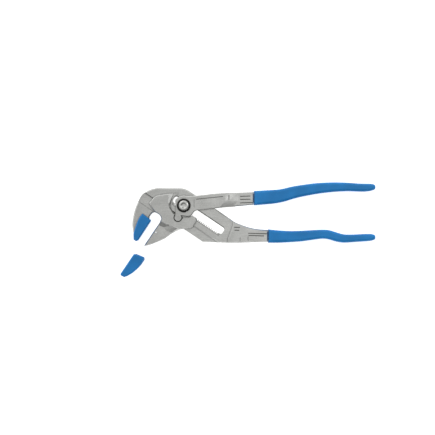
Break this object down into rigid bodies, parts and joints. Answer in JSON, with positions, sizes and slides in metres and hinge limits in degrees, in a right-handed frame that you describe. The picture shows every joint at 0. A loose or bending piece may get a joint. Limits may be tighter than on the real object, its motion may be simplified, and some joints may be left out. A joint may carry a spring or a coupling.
{
  "type": "tongue and groove pliers",
  "caption": "Adjustable pliers with a slotted rack lever, a sliding parallel jaw, a push-button pivot, dipped grips and clip-on jaw covers.",
  "frame": {"origin": "centre of the pivot bolt's flat rear face", "axes": "+X towards the handle ends, +Y towards the back of the hook, +Z through the pivot towards the push button"},
  "size_m": [0.2627, 0.0977, 0.0184],
  "materials": {
    "satin_steel": "satin nickel plate over forged steel",
    "black_oxide": "black oxide",
    "spring_steel": "bright spring steel",
    "dipped_blue": "dipped PVC, soft sheen",
    "moulded_blue": "moulded plastic, fine grain"
  },
  "bodies": {
    "fixed_arm": {"fixed_lever": "satin_steel", "lower_grip": "dipped_blue"},
    "pivot": {"pivot_bolt": "satin_steel", "bolt_collar": "black_oxide"},
    "handle": {"upper_lever": "satin_steel", "upper_grip": "dipped_blue"},
    "jaw": {"sliding_jaw": "satin_steel"},
    "button": {"push_button": "satin_steel", "lock_plunger": "spring_steel", "button_spring": "spring_steel"},
    "hook_cover": {"upper_jaw_cover": "moulded_blue"},
    "loose_cover": {"lower_jaw_cover": "moulded_blue"}
  },
  "joints": [
    {"name": "rack_slide", "type": "slide", "parent": "fixed_arm", "child": "pivot", "axis": [0.829, -0.5592, 0], "range_m": [-0.004, 0.032]},
    {"name": "handle_pivot", "type": "hinge", "parent": "pivot", "child": "handle", "pos_m": [0, 0, 0.008], "axis": [0, 0, 1], "range_deg": [-4, 13]},
    {"name": "jaw_slide", "type": "slide", "parent": "pivot", "child": "jaw", "axis": [0.829, -0.5592, 0], "range_m": [-0.001, 0.0032]},
    {"name": "button_press", "type": "slide", "parent": "pivot", "child": "button", "axis": [0, 0, -1], "range_m": [0, 0.0024], "stiffness_N_per_m": 1500, "springref_m": -0.002, "deforming": ["button_spring"]},
    {"name": "hook_cover_slide", "type": "slide", "parent": "fixed_arm", "child": "hook_cover", "axis": [-0.5592, -0.829, 0], "range_m": [0, 0.036]},
    {"name": "loose_cover_slide", "type": "slide", "parent": "jaw", "child": "loose_cover", "axis": [-0.5932, -0.805, 0], "range_m": [-0.036, 0]}
  ],
  "couplings": [
    {"joint": "jaw_slide", "follows": "handle_pivot", "m_per_rad": 0.0137}
  ]
}
